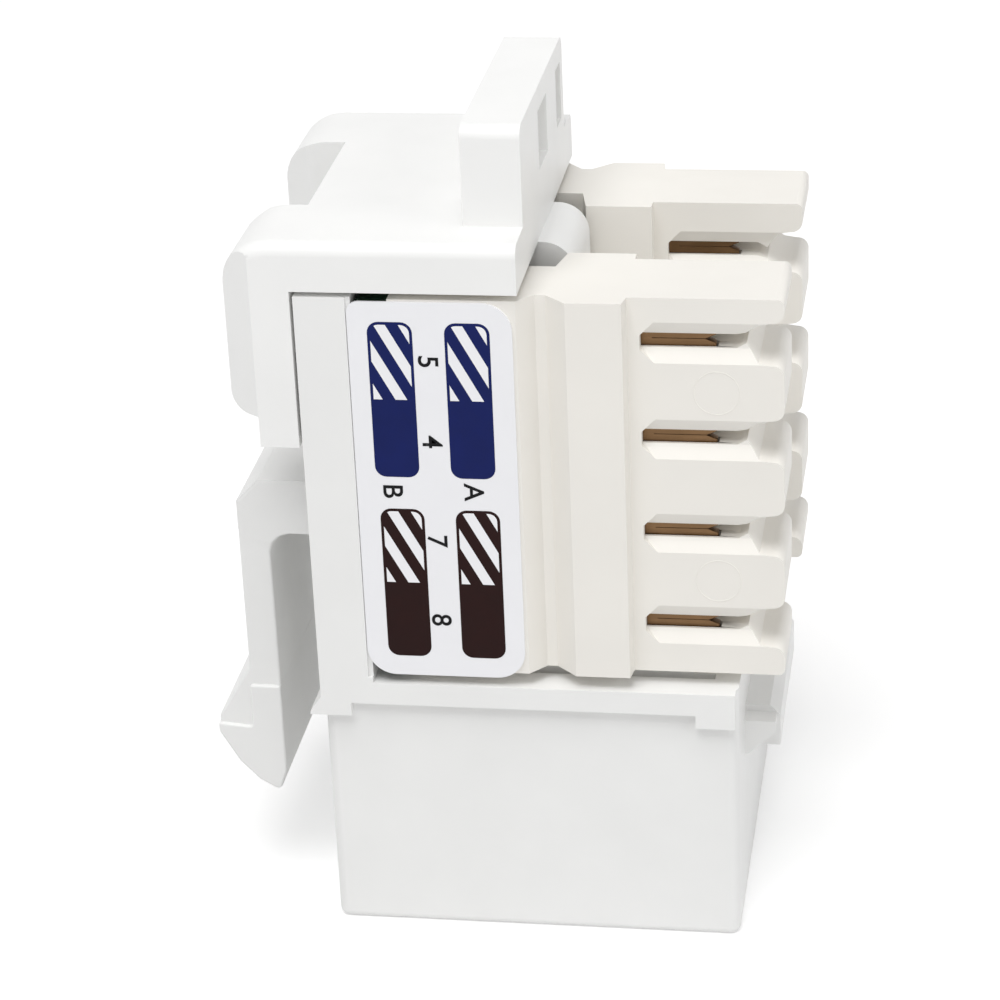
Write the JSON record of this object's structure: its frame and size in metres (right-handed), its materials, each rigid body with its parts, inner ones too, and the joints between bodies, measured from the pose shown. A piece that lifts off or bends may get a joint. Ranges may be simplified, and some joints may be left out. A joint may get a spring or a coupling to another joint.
{
  "type": "keystone jack",
  "caption": "RJ45 keystone jack with a plug port, a sprung panel latch, slotted wire blocks with colour-code labels, and a clip-on rear cover with a cable-tie tab",
  "frame": {"origin": "the middle of the port's front face, on which the jack stands", "axes": "+Z to the rear, where the cable comes in; +X from the latch side to the tips of the wire blocks; -Y is the side with the blue and brown label"},
  "size_m": [0.0227, 0.0154, 0.0325],
  "materials": {
    "housing_white": "satin moulded ABS",
    "cover_white": "satin moulded ABS",
    "latch_white": "satin moulded ABS",
    "block_ivory": "satin moulded polycarbonate",
    "board_green": "satin solder mask",
    "carrier_white": "matte moulded",
    "contact_bronze": "bright phosphor bronze",
    "wire_gold": "gold plated",
    "label_paper": "printed gloss label"
  },
  "bodies": {
    "jack": {"port_housing": "housing_white", "rear_cover": "cover_white", "idc_block_near": "block_ivory", "idc_block_far": "block_ivory", "circuit_board": "board_green", "contact_carrier": "carrier_white", "jack_contact_1": "wire_gold", "jack_contact_2": "wire_gold", "jack_contact_3": "wire_gold", "jack_contact_4": "wire_gold", "jack_contact_5": "wire_gold", "jack_contact_6": "wire_gold", "jack_contact_7": "wire_gold", "jack_contact_8": "wire_gold", "idc_contact_1": "contact_bronze", "idc_contact_2": "contact_bronze", "idc_contact_3": "contact_bronze", "idc_contact_4": "contact_bronze", "idc_contact_5": "contact_bronze", "idc_contact_6": "contact_bronze", "idc_contact_7": "contact_bronze", "idc_contact_8": "contact_bronze", "label_near": "label_paper", "label_far": "label_paper"},
    "latch": {"latch_arm": "latch_white"}
  },
  "joints": [
    {"name": "latch_flex", "type": "hinge", "parent": "jack", "child": "latch", "pos_m": [-0.01095, 0, 0.0156], "axis": [0, -1, 0], "range_deg": [0, 9], "stiffness_Nm_per_rad": 0.25}
  ]
}
